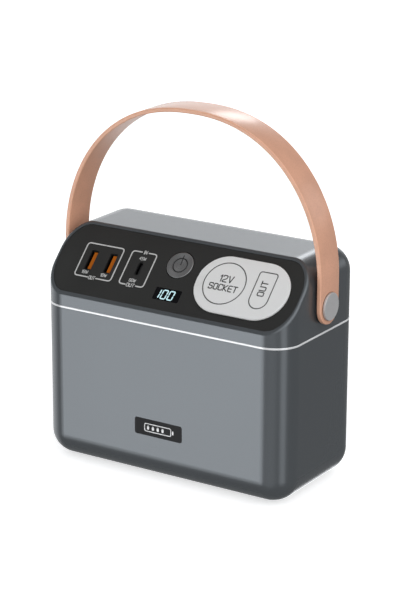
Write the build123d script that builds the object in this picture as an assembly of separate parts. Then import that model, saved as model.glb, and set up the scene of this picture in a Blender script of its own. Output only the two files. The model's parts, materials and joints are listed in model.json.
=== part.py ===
from build123d import *
import os
from math import cos, pi, radians, sin

os.makedirs("parts", exist_ok=True)

# Portable power station. Millimetres, +Z up, front towards -Y.
# The origin is the centre of the footprint, on the surface that the feet stand on.

# ---- Case ----
WIDTH = 180.0
DEPTH = 89.4
BASE_Z = 1.0                      # underside of the case: the feet lift it
BODY_HEIGHT = 148.5
CORNER_R = 17.0                   # upright edges
TOP_R = 16.9
BOTTOM_R = 16.2
WALL = 2.6
SEAM_Z = 102.8                    # middle of the bright ring between the two housings
TRIM_HEIGHT = 1.3
TRIM_PROUD = 0.25
TRIM_EDGE_R = 0.3
TRIM_INNER = 3.4                  # how far the ring reaches in from the case's side
SEAM_FRAME_BELOW = 6.0
SEAM_FRAME_ABOVE = 4.0
SEAM_FRAME_WALL = 2.4
TOP_Z = BASE_Z + BODY_HEIGHT
FRONT_Y = -DEPTH / 2
SIDE_X = WIDTH / 2
FLOOR_Z = BASE_Z + WALL
LOWER_TOP = SEAM_Z - TRIM_HEIGHT / 2
UPPER_BOTTOM = SEAM_Z + TRIM_HEIGHT / 2

# ---- Slanted control face: u across, v up the slope, p out of the face ----
SLOPE = 45.5                      # degrees from horizontal
SLANT_FOOT_Z = 111.3              # where the face meets the front
SLANT_EDGE_R = 1.8
SLANT_WALL = 4.4
FACE_LENGTH = (TOP_Z - SLANT_FOOT_Z) / sin(radians(SLOPE))
RIM = 2.2                         # width of the case's rim round the black panel
LEDGE = 3.0                       # the panel rests on this
PANEL_TOP = -0.35                 # the panel's face, just under the rim
PANEL_THICK = 2.2
PANEL_BACK = PANEL_TOP - PANEL_THICK
FIT_GAP = 0.1
FAR = 400.0                       # past the object on every side, for cutting tools
FACE = Plane(
    origin=(0, FRONT_Y, SLANT_FOOT_Z),
    x_dir=(1, 0, 0),
    z_dir=(0, -sin(radians(SLOPE)), cos(radians(SLOPE))),
)

# ---- Handle ----
PIVOT_Z = 120.5
STRAP_WIDTH = 22.4
STRAP_THICK = 2.8
STRAP_CLEAR = 1.35                # from the case's side to the strap
ARCH_FOOT_Z = 136.9               # the legs are straight up to here, so that they pass the case's sides
ARCH_RISE = 93.6
ARCH_POWER_X = 2.25               # exponents of the superellipse
ARCH_POWER_Z = 2.0
ARCH_STEPS = 28
ARCH_HALF_SPAN = SIDE_X + STRAP_CLEAR + STRAP_THICK / 2
RUNNING_GAP = 0.05
SIDE_GAP = 0.3
SHOULDER_R = 3.5
RIVET_R = 8.6
RIVET_HEAD = 1.3
RIVET_EDGE_R = 0.4
WASHER_R = 8.0
BUSH_R = 5.5
BUSH_LENGTH = 8.0
PIVOT_BOSS_R = 9.0
TAIL_R = 2.4
TAIL_LENGTH = 5.0
NUT_R = 5.0                       # across corners, halved
NUT_HEIGHT = 3.0
NUT_WASHER_R = 6.5
NUT_WASHER_THICK = 0.6
THREAD_GAP = 0.02

# ---- Port positions on the slanted face (u, v) ----
USB_A_PLACES = [(-63.4, 26.7), (-48.9, 26.7)]
USB_C_PLACE = (-27.4, 27.0)
BUTTON_PLACE = (-0.3, 34.6)
DISPLAY_PLACE = (-0.1, 13.3)
SOCKET_PLACE = (35.8, 27.0)
JUMP_PLACE = (62.8, 27.3)

# ---- Ports ----
USB_A_HOLE = (5.4, 14.2)
USB_A_SHELL = (5.1, 13.5)
USB_A_TONGUE = (-0.6, 2.1)        # its two faces, across the port
USB_A_TONGUE_HEIGHT = 12.0
USB_C_SHELL = (3.2, 9.0)
USB_SHELL_WALL = 0.3
USB_CORNER_R = 0.5
USB_C_HOLE = (9.6, 3.7)
PORT_BOARD_FACE = -15.4
PORT_BOARD_THICK = 1.6
BOARD_SCREW_U = (-72.0, -16.0)
BOARD_SCREW_V = (10.5, 43.5)
BOARD_SCREW_R = 1.1
BOARD_POST_R = 2.8
BUTTON_R = 9.05
BUTTON_HOLE_R = 9.5
BUTTON_TRAVEL = 0.8
BUTTON_FLANGE_R = 10.2
BUTTON_PROUD = 0.35
BUTTON_EDGE_R = 0.5
BUTTON_DISH_R = 60.0
BUTTON_DISH_DEPTH = 0.55
BUTTON_STEM_R = 2.0
BUTTON_STEM = 5.0                 # how far the stem reaches behind the panel
GUIDE_R = 12.0
DISPLAY_SIZE = (18.8, 8.5)
SOCKET_R = 10.5                   # 12 V vehicle-type socket, 21 mm bore
SOCKET_COLLAR_R = 13.6
SOCKET_DEPTH = 38.0
SOCKET_WALL = 0.9
SOCKET_FRONT = -4.0               # front edge of the metal can
COLLAR_WALL = 1.2
COLLAR_LEAD = 0.6                 # the collar's mouth is wider than the can by this
COLLAR_GRIP = 12.0                # length of the collar over the can
SOCKET_BASE = 4.0                 # thickness of the insulator at the bottom
SOCKET_TIP_R = 3.4
SOCKET_TIP_THICK = 1.6
SOCKET_STEM_R = 2.0
SOCKET_NUT_WALL = 2.4
SOCKET_NUT_HEIGHT = 5.0
JUMP_WIDTH = 12.6
JUMP_TOP = 12.4                   # from the port's centre to its flat end
JUMP_ROUND = -6.1                 # centre of its round end
JUMP_CORNER_R = 1.8
JUMP_DEPTH = 11.0
JUMP_WALL = 1.1                   # half of it outside the port's outline, half inside
JUMP_PITCH = 11.0
JUMP_CONTACT_R = 2.6
JUMP_CONTACT_WALL = 0.5
JUMP_FLOOR = 9.0                  # thickness of the floor that holds the contacts
JUMP_TAIL = 5.0

# ---- Silicone cover over the 12 V socket and the jump port ----
COVER_LEFT = 15.7
COVER_RIGHT = 80.7
COVER_R = 19.5
COVER_V = 26.8
COVER_TOP = 1.6
COVER_EDGE_R = 0.6
COVER_HINGE_U = 72.5
COVER_SPLIT = 0.15                # half the gap at the fold
PLUG_DEPTH = 2.2
PLUG_GAP = 0.7
STEM_R = 1.5
STEM_BARB_R = 2.2
STEM_INSET = 3.6                  # from the fold to the stems
STEM_SPREAD = 9.0

# ---- Battery and electronics ----
CELL_R = 10.6
CELL_LENGTH = 70.2
CELL_PITCH = 23.0
CELL_COLUMNS = 6
CELL_ROWS = 2
CELL_Z = 8.0
HOLDER_HEIGHT = 9.0
HOLDER_MARGIN = 3.0
BUS_THICK = 0.3
BOARD_THICK = 1.6
TRAY_SCREW_X = 76.0
TRAY_SCREW_Y = 15.0
TRAY_SCREW_R = 1.2
TRAY_BOSS_R = 3.5
TAB_HALF = 4.0                    # half the width of a screw tab
TAB_THICK = 3.0
TAB_HOLE_R = 1.7
BUS_OVERLAP = 5.0                 # how far a strip reaches over each cell's end
BMS_SIZE = (120.0, 40.0)
BMS_LIFT = 3.0
MAIN_BOARD_Y = 31.0
MAIN_BOARD_HALF = 66.0
MAIN_BOARD_Z = (12.0, 88.0)
COIL_R = 7.0
COIL_HEIGHT = 4.0
SINK_X = (-30.0, 40.0)
SINK_Z = (52.0, 84.0)
SINK_BASE = 1.6
FIN_COUNT = 9
FIN_THICK = 1.4
FIN_HEIGHT = 4.9
PORT_BOARD_U = (-76.0, 14.0)
PORT_BOARD_V = (6.5, 47.0)

# ---- Badge and feet ----
BADGE_SIZE = (35.0, 11.0)
BADGE_PLACE = (-0.5, 35.4)        # x, z
BADGE_PROUD = 0.2
BADGE_THICK = 1.2
BADGE_CORNER_R = 1.6
FOOT_R = 6.0
FOOT_THICK = 2.0
FOOT_EDGE_R = 0.4
FOOT_PLACES = [(x, y) for x in (-66, 66) for y in (-24, 24)]


def rod(radius, low, high):
    """Cylinder on the local Z axis, from low to high."""
    upright = (Align.CENTER, Align.CENTER, Align.MIN)
    return Pos(0, 0, low) * Cylinder(radius, high - low, align=upright)


def tube(outer, inner, low, high):
    return rod(outer, low, high) - rod(inner, low - 1, high + 1)


def block(x, y, z):
    """Box given by its low and high along each axis."""
    middle = [(low + high) / 2 for low, high in (x, y, z)]
    return Pos(*middle) * Box(x[1] - x[0], y[1] - y[0], z[1] - z[0])


def slab(outline, low, high):
    """Flat outline made solid from low to high along local Z."""
    return Pos(0, 0, low) * extrude(outline, high - low, dir=(0, 0, 1))


def join(shapes):
    whole = shapes[0]
    for shape in shapes[1:]:
        whole = whole + shape
    return whole


def on_face(shape, place=(0, 0)):
    """Move a shape from the face's own u, v, p axes to its place on the slanted face."""
    return FACE.location * Pos(place[0], place[1], 0) * shape


def on_sides(shape):
    """Two copies of a shape drawn with +Z out of the case's side, at the handle's pivots."""
    right = Pos(SIDE_X, 0, PIVOT_Z) * Rot(0, 90, 0) * shape
    left = Pos(-SIDE_X, 0, PIVOT_Z) * Rot(0, -90, 0) * shape
    return left, right


# ---- Case forms ----

def case_form(inset=0.0, slant_inset=0.0, edge_r=0.0):
    """The case's outer form drawn in by inset, with the slanted face cut off the front top edge."""
    form = Pos(0, 0, BASE_Z + inset) * Box(
        WIDTH - 2 * inset,
        DEPTH - 2 * inset,
        BODY_HEIGHT - 2 * inset,
        align=(Align.CENTER, Align.CENTER, Align.MIN),
    )
    form = fillet(form.edges().filter_by(Axis.Z), CORNER_R - inset)
    form = fillet(form.edges().group_by(Axis.Z)[0], BOTTOM_R - inset)
    form = fillet(form.edges().group_by(Axis.Z)[-1], TOP_R - inset)
    form = form - on_face(block((-FAR, FAR), (-FAR, FAR), (-slant_inset, FAR)))
    if edge_r:
        form = fillet(slanted_face(form).edges(), edge_r)
    return form


def slanted_face(form):
    return form.faces().filter_by(lambda face: face.normal_at().dot(FACE.z_dir) > 0.999)[0]


def face_outline(inset):
    """Outline of the slanted face drawn in by inset, with the elliptical corners of a cut across the case."""
    half = SIDE_X - inset
    top = FACE_LENGTH - inset
    reach = CORNER_R - inset
    low_rise = CORNER_R / cos(radians(SLOPE)) - inset
    high_rise = TOP_R / sin(radians(SLOPE)) - inset
    right_low = EllipticalCenterArc((half - reach, inset + low_rise), reach, low_rise, -90, arc_size=90)
    right_high = EllipticalCenterArc((half - reach, top - high_rise), reach, high_rise, 0, arc_size=90)
    left_high = mirror(right_high, Plane.YZ)
    left_low = mirror(right_low, Plane.YZ)
    joins = [
        Line(right_low @ 1, right_high @ 0),
        Line(right_high @ 1, left_high @ 1),
        Line(left_high @ 0, left_low @ 1),
        Line(left_low @ 0, right_low @ 0),
    ]
    return make_face([right_low, right_high, left_high, left_low] + joins)


def footprint(inset):
    """The case's plan outline drawn in by inset."""
    return RectangleRounded(WIDTH - 2 * inset, DEPTH - 2 * inset, CORNER_R - inset)


# ---- Housings and outer trim ----

def lower_housing():
    below = block((-FAR, FAR), (-FAR, FAR), (-FAR, LOWER_TOP))
    shell = (case_form() & below) - case_form(WALL, SLANT_WALL)
    for x in (-TRAY_SCREW_X, TRAY_SCREW_X):
        for y in (-TRAY_SCREW_Y, TRAY_SCREW_Y):
            boss = tube(TRAY_BOSS_R, TRAY_SCREW_R, FLOOR_Z - 1, CELL_Z)
            shell = shell + Pos(x, y, 0) * boss
    for x, y in FOOT_PLACES:
        shell = shell - Pos(x, y, 0) * rod(FOOT_R, BASE_Z - 1, FOOT_THICK)
    badge = badge_block(BADGE_SIZE, BADGE_THICK - BADGE_PROUD, 1.0)
    return shell - badge


def upper_housing():
    above = block((-FAR, FAR), (-FAR, FAR), (UPPER_BOTTOM, FAR))
    shell = (case_form(edge_r=SLANT_EDGE_R) & above) - case_form(WALL, SLANT_WALL)
    shell = shell - on_face(slab(face_outline(RIM), PANEL_BACK, WALL))
    shell = shell - on_face(slab(face_outline(RIM + LEDGE), -2 * SLANT_WALL, WALL))
    for boss in on_sides(rod(PIVOT_BOSS_R, -BUSH_LENGTH, -WALL / 2)):
        shell = shell + boss
    for bore in on_sides(rod(BUSH_R, -BUSH_LENGTH - 1, 1)):
        shell = shell - bore
    return shell


def trim_ring():
    ring = slab(footprint(-TRIM_PROUD), LOWER_TOP, UPPER_BOTTOM)
    ring = fillet(ring.edges(), TRIM_EDGE_R)
    return ring - slab(footprint(TRIM_INNER), LOWER_TOP - 1, UPPER_BOTTOM + 1)


def seam_frame():
    """Inner frame that both housings clip to, with a rib under the bright ring."""
    low, high = SEAM_Z - SEAM_FRAME_BELOW, SEAM_Z + SEAM_FRAME_ABOVE
    outer = slab(footprint(WALL + FIT_GAP), low, high)
    frame = outer - slab(footprint(WALL + SEAM_FRAME_WALL), low - 1, high + 1)
    groove = slab(footprint(0), LOWER_TOP - FIT_GAP, UPPER_BOTTOM + FIT_GAP)
    groove = groove - slab(footprint(TRIM_INNER + FIT_GAP), LOWER_TOP - 1, UPPER_BOTTOM + 1)
    return frame - groove


def rubber_feet():
    foot = rod(FOOT_R - FIT_GAP, 0, FOOT_THICK)
    foot = fillet(foot.edges().group_by(Axis.Z)[0], FOOT_EDGE_R)
    return Compound([Pos(x, y, 0) * foot for x, y in FOOT_PLACES])


def badge_block(size, depth, proud):
    """Rounded plate on the front face, from depth inside it to proud of it."""
    outline = RectangleRounded(size[0], size[1], BADGE_CORNER_R)
    plate = slab(outline, -depth, proud)
    return Pos(BADGE_PLACE[0], FRONT_Y, BADGE_PLACE[1]) * Rot(90, 0, 0) * plate


def badge_plate():
    size = (BADGE_SIZE[0] - 2 * FIT_GAP, BADGE_SIZE[1] - 2 * FIT_GAP)
    return badge_block(size, BADGE_THICK - BADGE_PROUD, BADGE_PROUD)


# ---- Control panel and what shows in it ----

def jump_outline(grow):
    """D-shaped outline of the jump port, one end round and one flat, made larger by grow."""
    half = JUMP_WIDTH / 2 + grow
    top = JUMP_TOP + grow
    outline = Pos(0, (JUMP_ROUND + top) / 2) * Rectangle(2 * half, top - JUMP_ROUND)
    outline = outline + Pos(0, JUMP_ROUND) * Circle(half)
    return fillet(outline.vertices().group_by(Axis.Y)[-1], JUMP_CORNER_R + grow)


def anchor_stems():
    return [(COVER_HINGE_U + STEM_INSET, COVER_V + dv) for dv in (-STEM_SPREAD, STEM_SPREAD)]


def board_screw_places():
    return [(u, v) for u in BOARD_SCREW_U for v in BOARD_SCREW_V]


def control_panel():
    plate = slab(face_outline(RIM + FIT_GAP), PANEL_BACK, PANEL_TOP)
    holes = [Pos(*place) * RectangleRounded(*USB_A_HOLE, USB_CORNER_R) for place in USB_A_PLACES]
    holes.append(Pos(*USB_C_PLACE) * SlotOverall(*USB_C_HOLE, rotation=90))
    holes.append(Pos(*BUTTON_PLACE) * Circle(BUTTON_HOLE_R))
    holes.append(Pos(*DISPLAY_PLACE) * RectangleRounded(*DISPLAY_SIZE, 1.0))
    holes.append(Pos(*SOCKET_PLACE) * Circle(SOCKET_COLLAR_R))
    holes.append(Pos(*JUMP_PLACE) * jump_outline(JUMP_WALL / 2 + FIT_GAP))
    holes += [Pos(*place) * Circle(STEM_R + FIT_GAP) for place in anchor_stems()]
    for hole in holes:
        plate = plate - slab(hole, PANEL_BACK - 1, PANEL_TOP + 1)
    for u, v in board_screw_places():
        plate = plate + Pos(u, v, 0) * tube(BOARD_POST_R, BOARD_SCREW_R, PORT_BOARD_FACE, PANEL_BACK)
    return on_face(plate)


def usb_shell(outline_outer, outline_inner):
    """Thin metal tube of a USB port, open to the front."""
    front = PANEL_TOP - 0.4
    return slab(outline_outer, PORT_BOARD_FACE, front) - slab(outline_inner, PORT_BOARD_FACE + 1, 1)


def usb_a_shells():
    width, height = USB_A_SHELL
    inner = Rectangle(width - 2 * USB_SHELL_WALL, height - 2 * USB_SHELL_WALL)
    shell = usb_shell(RectangleRounded(width, height, 0.4), inner)
    return Compound([on_face(shell, place) for place in USB_A_PLACES])


def usb_a_tongues():
    """Contact tongues, set to the right-hand side of each port as the plugs need them."""
    half = USB_A_TONGUE_HEIGHT / 2
    blade = block(USB_A_TONGUE, (-half, half), (PORT_BOARD_FACE + 1, PANEL_TOP - 0.9))
    root = block((-2.2, 2.2), (-6.4, 6.4), (PORT_BOARD_FACE + 1, PORT_BOARD_FACE + 5))
    return Compound([on_face(blade + root, place) for place in USB_A_PLACES])


def usb_c_shell():
    width, height = USB_C_SHELL
    outer = SlotOverall(height, width, rotation=90)
    inner = SlotOverall(height - 2 * USB_SHELL_WALL, width - 2 * USB_SHELL_WALL, rotation=90)
    return on_face(usb_shell(outer, inner), USB_C_PLACE)


def usb_c_tongue():
    blade = block((-0.35, 0.35), (-3.3, 3.3), (PORT_BOARD_FACE + 1, PANEL_TOP - 1.6))
    return on_face(blade, USB_C_PLACE)


def power_button():
    face = PANEL_TOP + BUTTON_PROUD
    cap = rod(BUTTON_R, PANEL_BACK - 2, face)
    cap = fillet(cap.edges().group_by(Axis.Z)[-1], BUTTON_EDGE_R)
    cap = cap - Pos(0, 0, face + BUTTON_DISH_R - BUTTON_DISH_DEPTH) * Sphere(BUTTON_DISH_R)
    flange = rod(BUTTON_FLANGE_R, PANEL_BACK - 2, PANEL_BACK - SIDE_GAP)
    stem = rod(BUTTON_STEM_R, PANEL_BACK - BUTTON_STEM, PANEL_BACK - 1)
    return on_face(cap + flange + stem, BUTTON_PLACE)


def button_guide():
    """Sleeve behind the panel that keeps the button square in its hole."""
    return on_face(tube(GUIDE_R, BUTTON_FLANGE_R + 0.4, PORT_BOARD_FACE, PANEL_BACK), BUTTON_PLACE)


def button_switch():
    top = PANEL_BACK - BUTTON_STEM - BUTTON_TRAVEL - SIDE_GAP
    body = block((-3, 3), (-3, 3), (PORT_BOARD_FACE, top - 1)) + rod(1.6, top - 2, top)
    return on_face(body, BUTTON_PLACE)


def display_window():
    size = [side - 2 * FIT_GAP for side in DISPLAY_SIZE]
    return on_face(slab(RectangleRounded(*size, 0.9), PANEL_BACK, PANEL_TOP - 0.05), DISPLAY_PLACE)


def display_module():
    return on_face(block((-11, 11), (-5.6, 5.2), (PANEL_BACK - 5, PANEL_BACK)), DISPLAY_PLACE)


# ---- 12 V socket ----

def socket_collar():
    """Flanged plastic collar that lines the panel's hole and grips the metal can."""
    can_r = SOCKET_R + SOCKET_WALL
    barrel_r = can_r + COLLAR_WALL
    mouth_r = SOCKET_R + COLLAR_LEAD
    ring = tube(SOCKET_COLLAR_R - FIT_GAP, mouth_r, PANEL_BACK, PANEL_TOP)
    lip = tube(barrel_r, mouth_r, SOCKET_FRONT, PANEL_BACK)
    barrel = tube(barrel_r, can_r, SOCKET_FRONT - COLLAR_GRIP, SOCKET_FRONT)
    return on_face(ring + lip + barrel, SOCKET_PLACE)


def socket_can():
    can = tube(SOCKET_R + SOCKET_WALL, SOCKET_R, -SOCKET_DEPTH, SOCKET_FRONT)
    return on_face(can, SOCKET_PLACE)


def socket_insulator():
    """Base of the socket, with the centre contact let in flush."""
    base = tube(SOCKET_R + SOCKET_WALL, SOCKET_STEM_R, -SOCKET_DEPTH - SOCKET_BASE, -SOCKET_DEPTH)
    seat = rod(SOCKET_TIP_R, -SOCKET_DEPTH - SOCKET_TIP_THICK, -SOCKET_DEPTH + 1)
    return on_face(base - seat, SOCKET_PLACE)


def socket_contact():
    tip = rod(SOCKET_TIP_R, -SOCKET_DEPTH - SOCKET_TIP_THICK, -SOCKET_DEPTH)
    stem = rod(SOCKET_STEM_R, -SOCKET_DEPTH - SOCKET_BASE - 3, -SOCKET_DEPTH)
    return on_face(tip + stem, SOCKET_PLACE)


def socket_nut():
    inner = SOCKET_R + SOCKET_WALL + COLLAR_WALL
    nut = tube(inner + SOCKET_NUT_WALL, inner, PANEL_BACK - SOCKET_NUT_HEIGHT, PANEL_BACK)
    return on_face(nut, SOCKET_PLACE)


# ---- Jump port ----

def jump_housing():
    """D-shaped plastic well with two contact bores in its floor."""
    floor = PANEL_TOP - JUMP_DEPTH
    outer, inner = jump_outline(JUMP_WALL / 2), jump_outline(-JUMP_WALL / 2)
    well = slab(outer, floor - JUMP_FLOOR, PANEL_TOP) - slab(inner, floor, 1)
    for dv in (-JUMP_PITCH / 2, JUMP_PITCH / 2):
        bore = rod(JUMP_CONTACT_R + JUMP_CONTACT_WALL, floor - JUMP_FLOOR - 1, floor + 1)
        well = well - Pos(0, dv, 0) * bore
    return on_face(well, JUMP_PLACE)


def jump_contacts():
    floor = PANEL_TOP - JUMP_DEPTH
    outer = JUMP_CONTACT_R + JUMP_CONTACT_WALL
    sleeve = tube(outer, JUMP_CONTACT_R, floor - JUMP_FLOOR, floor - 0.4)
    contact = sleeve + rod(outer, floor - JUMP_FLOOR - JUMP_TAIL, floor - JUMP_FLOOR)
    places = [(JUMP_PLACE[0], JUMP_PLACE[1] + dv) for dv in (-JUMP_PITCH / 2, JUMP_PITCH / 2)]
    return Compound([on_face(contact, place) for place in places])


# ---- Silicone cover ----

def cover_blank(low):
    """The whole cover, a rounded lozenge with a softened upper edge."""
    length = COVER_RIGHT - COVER_LEFT
    outline = Pos((COVER_LEFT + COVER_RIGHT) / 2, COVER_V) * SlotOverall(length, 2 * COVER_R)
    blank = slab(outline, low, COVER_TOP)
    return fillet(blank.edges().group_by(Axis.Z)[-1], COVER_EDGE_R)


def port_cover():
    low = PANEL_TOP + SIDE_GAP
    flap = cover_blank(low) & block((0, COVER_HINGE_U - COVER_SPLIT), (0, 60), (-1, 5))
    bottom = PANEL_TOP - PLUG_DEPTH
    flap = flap + Pos(*SOCKET_PLACE) * rod(SOCKET_R - PLUG_GAP, bottom, low + 0.5)
    flap = flap + Pos(*JUMP_PLACE) * slab(jump_outline(-JUMP_WALL / 2 - PLUG_GAP), bottom, low + 0.5)
    return on_face(flap)


def cover_anchor():
    """Fixed end of the cover, held to the panel by two stems with barbs behind it."""
    strip = cover_blank(PANEL_TOP) & block((COVER_HINGE_U + COVER_SPLIT, 90), (0, 60), (-1, 5))
    for place in anchor_stems():
        strip = strip + Pos(*place) * rod(STEM_R, PANEL_BACK - 2, PANEL_TOP + 0.5)
        strip = strip + Pos(*place) * rod(STEM_BARB_R, PANEL_BACK - 2, PANEL_BACK)
    return on_face(strip)


# ---- Handle ----

def arch_point(turn, shift):
    """Point on the strap's superellipse at angle turn, moved outwards by shift, in X and Z."""
    side = 1 if cos(turn) > 0 else -1
    across = abs(cos(turn)) ** (2 / ARCH_POWER_X)
    up = abs(sin(turn)) ** (2 / ARCH_POWER_Z)
    slope_x = side * ARCH_POWER_X * across ** (ARCH_POWER_X - 1) / ARCH_HALF_SPAN
    slope_z = ARCH_POWER_Z * up ** (ARCH_POWER_Z - 1) / ARCH_RISE
    steep = (slope_x ** 2 + slope_z ** 2) ** 0.5
    x = side * across * ARCH_HALF_SPAN + shift * slope_x / steep
    z = ARCH_FOOT_Z + up * ARCH_RISE + shift * slope_z / steep
    return x, 0, z


def arch_curve(shift):
    turns = [pi * step / ARCH_STEPS for step in range(1, ARCH_STEPS)]
    right = (ARCH_HALF_SPAN + shift, 0, ARCH_FOOT_Z)
    left = (-ARCH_HALF_SPAN - shift, 0, ARCH_FOOT_Z)
    points = [right] + [arch_point(turn, shift) for turn in turns] + [left]
    return Spline(*points, tangents=[(0, 0, 1), (0, 0, -1)])


def handle_strap():
    """Arched strap with round ends, turning on the rivets' shoulders."""
    half = STRAP_THICK / 2
    low_z = PIVOT_Z - STRAP_WIDTH / 2
    outer, inner = arch_curve(half), arch_curve(-half)
    legs = []
    for side, (over, under) in ((1, (outer @ 0, inner @ 0)), (-1, (outer @ 1, inner @ 1))):
        over_low = (side * (ARCH_HALF_SPAN + half), 0, low_z)
        under_low = (side * (ARCH_HALF_SPAN - half), 0, low_z)
        legs += [Line(over, over_low), Line(over_low, under_low), Line(under_low, under)]
    profile = make_face([outer, inner] + legs)
    band = extrude(profile, STRAP_WIDTH / 2, dir=(0, 1, 0), both=True)
    long_side = block((-FAR, FAR), (-STRAP_WIDTH / 2, STRAP_WIDTH / 2), (PIVOT_Z, FAR))
    round_end = Pos(0, 0, PIVOT_Z) * Rot(0, 90, 0) * rod(STRAP_WIDTH / 2, -FAR, FAR)
    bore = Pos(0, 0, PIVOT_Z) * Rot(0, 90, 0) * rod(SHOULDER_R + RUNNING_GAP, -FAR, FAR)
    return (band & (long_side + round_end)) - bore


def rivets():
    """Shouldered rivets, left and right: head, shoulder that the strap turns on, threaded tail."""
    head_low = STRAP_CLEAR + STRAP_THICK + SIDE_GAP
    head = rod(RIVET_R, head_low, head_low + RIVET_HEAD)
    head = fillet(head.edges().group_by(Axis.Z)[-1], RIVET_EDGE_R)
    shoulder = rod(SHOULDER_R, -BUSH_LENGTH, head_low)
    tail = rod(TAIL_R, -BUSH_LENGTH - TAIL_LENGTH, -BUSH_LENGTH)
    return on_sides(head + shoulder + tail)


def pivot_washers():
    thick = STRAP_CLEAR - SIDE_GAP
    return Compound(list(on_sides(tube(WASHER_R, SHOULDER_R + RUNNING_GAP, 0, thick))))


def pivot_bushes():
    return Compound(list(on_sides(tube(BUSH_R, SHOULDER_R + RUNNING_GAP, -BUSH_LENGTH, 0))))


def pivot_nuts():
    middle = -BUSH_LENGTH - NUT_WASHER_THICK
    low = middle - NUT_HEIGHT
    nut = slab(RegularPolygon(NUT_R, 6), low, middle) - rod(TAIL_R + THREAD_GAP, low - 1, 1)
    washer = tube(NUT_WASHER_R, TAIL_R + THREAD_GAP, middle, -BUSH_LENGTH)
    return Compound(list(on_sides(nut)) + list(on_sides(washer)))


# ---- Battery pack and boards ----

def cell_places():
    xs = [(column - (CELL_COLUMNS - 1) / 2) * CELL_PITCH for column in range(CELL_COLUMNS)]
    ys = [(row - (CELL_ROWS - 1) / 2) * CELL_PITCH for row in range(CELL_ROWS)]
    return [(x, y) for y in ys for x in xs]


def battery_cells():
    cell = fillet(rod(CELL_R, CELL_Z, CELL_Z + CELL_LENGTH).edges(), 0.6)
    return Compound([Pos(x, y, 0) * cell for x, y in cell_places()])


def cell_holder(low):
    half_x = CELL_COLUMNS * CELL_PITCH / 2 + HOLDER_MARGIN
    half_y = CELL_ROWS * CELL_PITCH / 2 + HOLDER_MARGIN
    holder = slab(RectangleRounded(2 * half_x, 2 * half_y, 4), low, low + HOLDER_HEIGHT)
    for x, y in cell_places():
        holder = holder - Pos(x, y, 0) * rod(CELL_R + 0.05, low - 1, low + HOLDER_HEIGHT + 1)
    return holder


def cell_holder_lower():
    """Holder with four screw tabs that rest on the housing's bosses."""
    holder = cell_holder(CELL_Z)
    root = CELL_COLUMNS * CELL_PITCH / 2
    height = (CELL_Z, CELL_Z + TAB_THICK)
    for x in (-1, 1):
        for y in (-TRAY_SCREW_Y, TRAY_SCREW_Y):
            reach = sorted((x * root, x * (TRAY_SCREW_X + TAB_HALF)))
            tab = block(reach, (y - TAB_HALF, y + TAB_HALF), height)
            holder = holder + (tab - Pos(x * TRAY_SCREW_X, y, 0) * rod(TAB_HOLE_R, 0, FAR))
    return holder


def bus_bars():
    """Nickel strips joining the cells in pairs of rows, below and above."""
    bars = []
    half_y = CELL_PITCH / 2 + BUS_OVERLAP
    for column in range(0, CELL_COLUMNS, 2):
        x = (column + 0.5 - (CELL_COLUMNS - 1) / 2) * CELL_PITCH
        side = (x - half_y, x + half_y)
        bars.append(block(side, (-half_y, half_y), (CELL_Z - BUS_THICK, CELL_Z)))
        top = CELL_Z + CELL_LENGTH
        bars.append(block(side, (-half_y, half_y), (top, top + BUS_THICK)))
    return Compound(bars)


def tray_screws():
    head = CELL_Z + TAB_THICK
    screw = rod(TRAY_SCREW_R, CELL_Z - 3, head) + rod(2.8, head, head + 1.6)
    places = [(x, y) for x in (-TRAY_SCREW_X, TRAY_SCREW_X) for y in (-TRAY_SCREW_Y, TRAY_SCREW_Y)]
    return Compound([Pos(x, y, 0) * screw for x, y in places])


def bms_board():
    """Battery board with a row of transistors and a transformer block."""
    length, width = BMS_SIZE
    low = CELL_Z + CELL_LENGTH + BMS_LIFT
    top = low + BOARD_THICK
    board = block((-length / 2, length / 2), (-width / 2, width / 2), (low, top))
    for x in (-48, -36, -24, -12):
        board = board + block((x - 4, x + 4), (8, 14), (top, top + 2))
    return board + block((20, 44), (-4, 14), (top, top + 3))


def board_spacers():
    """Pillars that carry the battery board above the upper bus bars."""
    low = CELL_Z + CELL_LENGTH
    pillar = rod(2.2, low, low + BMS_LIFT)
    edge = BMS_SIZE[1] / 2 - FIT_GAP
    return Compound([Pos(x, y, 0) * pillar for x in (-CELL_PITCH, 0, CELL_PITCH) for y in (-edge, edge)])


def main_board():
    """Upright board behind the battery, with three coils on its front."""
    face = MAIN_BOARD_Y
    board = block((-MAIN_BOARD_HALF, MAIN_BOARD_HALF), (face, face + BOARD_THICK), MAIN_BOARD_Z)
    for x in (-40, -14, 12):
        coil = Pos(x, face, 30) * Rot(90, 0, 0) * rod(COIL_R, 0, COIL_HEIGHT)
        board = board + coil
    return board


def heat_sink():
    """Finned plate on the back of the main board."""
    face = MAIN_BOARD_Y + BOARD_THICK
    back = face + SINK_BASE
    sink = block(SINK_X, (face, back), SINK_Z)
    pitch = (SINK_X[1] - SINK_X[0] - FIN_THICK) / (FIN_COUNT - 1)
    for step in range(FIN_COUNT):
        left = SINK_X[0] + step * pitch
        sink = sink + block((left, left + FIN_THICK), (back - 0.5, back + FIN_HEIGHT), SINK_Z)
    return sink


def port_board():
    outline = (PORT_BOARD_FACE - PORT_BOARD_THICK, PORT_BOARD_FACE)
    board = block(PORT_BOARD_U, PORT_BOARD_V, outline)
    for u, v in board_screw_places():
        board = board - Pos(u, v, 0) * rod(BOARD_SCREW_R + 0.2, -FAR, 0)
    return on_face(board)


def board_screws():
    low = PORT_BOARD_FACE - PORT_BOARD_THICK
    screw = rod(BOARD_SCREW_R, low, low + 6) + rod(2 * BOARD_SCREW_R, low - 1.4, low)
    return Compound([on_face(screw, place) for place in board_screw_places()])


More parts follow.
